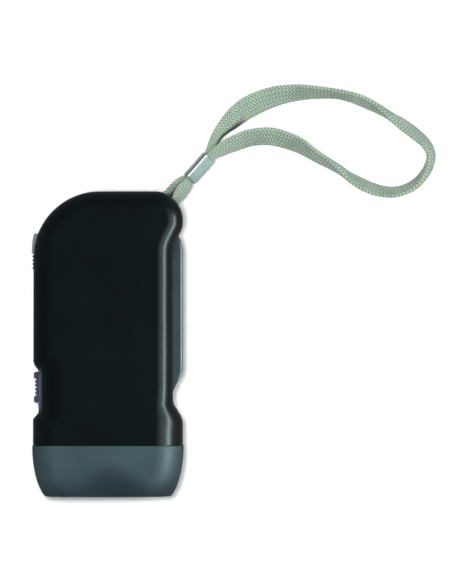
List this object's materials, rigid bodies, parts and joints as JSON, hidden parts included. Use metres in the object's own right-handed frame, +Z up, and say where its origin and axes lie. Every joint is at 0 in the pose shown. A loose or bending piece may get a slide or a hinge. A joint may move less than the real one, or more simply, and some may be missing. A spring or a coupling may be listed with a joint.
{
  "type": "dynamo flashlight",
  "caption": "Hand-squeezed dynamo torch with a rounded black two-half casing, smoke-grey head and side lever, slide switch, lever lock button and a woven wrist strap with a metal crimp.",
  "frame": {"origin": "centre of the bottom of the torch's box without its strap, on the flat face of the lower side shell", "axes": "+Z up through the two side shells, -Y along the beam, +X towards the squeeze lever"},
  "size_m": [0.1374, 0.1402, 0.038],
  "materials": {
    "black_casing": "black moulded plastic with a fine satin grain",
    "smoke_plastic": "smoke-grey half-clear moulded plastic, polished",
    "grey_plastic": "dark grey moulded plastic, satin",
    "clear_lens": "clear polished plastic",
    "silvered": "vacuum-silvered plastic",
    "lamp_resin": "water-clear resin",
    "board_green": "green lacquered laminate",
    "steel": "plain turned steel",
    "spring_steel": "bright drawn wire and sheet",
    "gear_nylon": "off-white moulded nylon",
    "brass": "turned brass",
    "copper": "enamelled copper wire",
    "magnet": "dark sintered ferrite",
    "dark_frame": "dark moulded plastic",
    "red_wire": "soft insulated wire",
    "webbing": "fine woven flat webbing, pale sage grey",
    "crimp_metal": "bright plated sheet"
  },
  "bodies": {
    "housing": {"lower_shell": "black_casing", "upper_shell": "black_casing", "housing_screws": "steel", "head_bezel": "smoke_plastic", "front_lens": "clear_lens", "reflector": "silvered", "leds": "lamp_resin", "led_board": "board_green", "lever_pin": "steel", "lever_spring": "spring_steel", "drive_axle": "steel", "idler_axle": "steel", "rotor_bush": "brass", "stator_cup": "steel", "coil_bobbin": "gear_nylon", "coil_winding": "copper", "gear_plate": "dark_frame", "plate_screws": "steel", "circuit_board": "board_green", "rectifier_diodes": "dark_frame", "coin_cell": "steel", "cell_clip": "spring_steel", "switch_body": "spring_steel", "latch_pin": "steel", "latch_spring": "spring_steel", "strap_pin": "steel", "led_leads": "red_wire", "coil_leads": "copper", "wrist_strap": "webbing", "strap_crimp": "crimp_metal"},
    "lever": {"squeeze_lever": "smoke_plastic"},
    "drive": {"clutch_pinion": "gear_nylon", "drive_gear": "gear_nylon"},
    "idler": {"idler_gear": "gear_nylon"},
    "rotor": {"rotor_pinion": "brass", "flywheel": "steel", "rotor_magnet": "magnet", "rotor_shaft": "steel"},
    "light_switch": {"switch_knob": "grey_plastic", "switch_slider": "dark_frame"},
    "button": {"release_button": "grey_plastic"},
    "latch": {"release_latch": "gear_nylon"}
  },
  "joints": [
    {"name": "lever_swing", "type": "hinge", "parent": "housing", "child": "lever", "pos_m": [0.0154, -0.021, 0.019], "axis": [0, 0, 1], "range_deg": [-22, 0], "deforming": ["lever_spring"]},
    {"name": "drive_spin", "type": "hinge", "parent": "housing", "child": "drive", "pos_m": [-0.0025, 0.0157, 0.019], "axis": [0, 0, 1], "continuous": true},
    {"name": "idler_spin", "type": "hinge", "parent": "housing", "child": "idler", "pos_m": [-0.01076, 0.0275, 0.019], "axis": [0, 0, 1], "continuous": true},
    {"name": "rotor_spin", "type": "hinge", "parent": "housing", "child": "rotor", "pos_m": [0.00264, 0.02914, 0.019], "axis": [0, 0, 1], "continuous": true},
    {"name": "switch_slide", "type": "slide", "parent": "housing", "child": "light_switch", "axis": [0, -1, 0], "range_m": [0, 0.0025]},
    {"name": "button_press", "type": "slide", "parent": "housing", "child": "button", "axis": [1, 0, 0], "range_m": [0, 0.001], "stiffness_N_per_m": 200},
    {"name": "latch_turn", "type": "hinge", "parent": "housing", "child": "latch", "pos_m": [-0.0125, 0.0414, 0.0308], "axis": [0, 0, 1], "range_deg": [0, 7.9], "deforming": ["latch_spring"]}
  ],
  "couplings": [
    {"joint": "drive_spin", "follows": "lever_swing", "ratio": -7.5},
    {"joint": "idler_spin", "follows": "lever_swing", "ratio": 22.5},
    {"joint": "rotor_spin", "follows": "lever_swing", "ratio": -61.875},
    {"joint": "latch_turn", "follows": "button_press", "rad_per_m": 136.99}
  ]
}
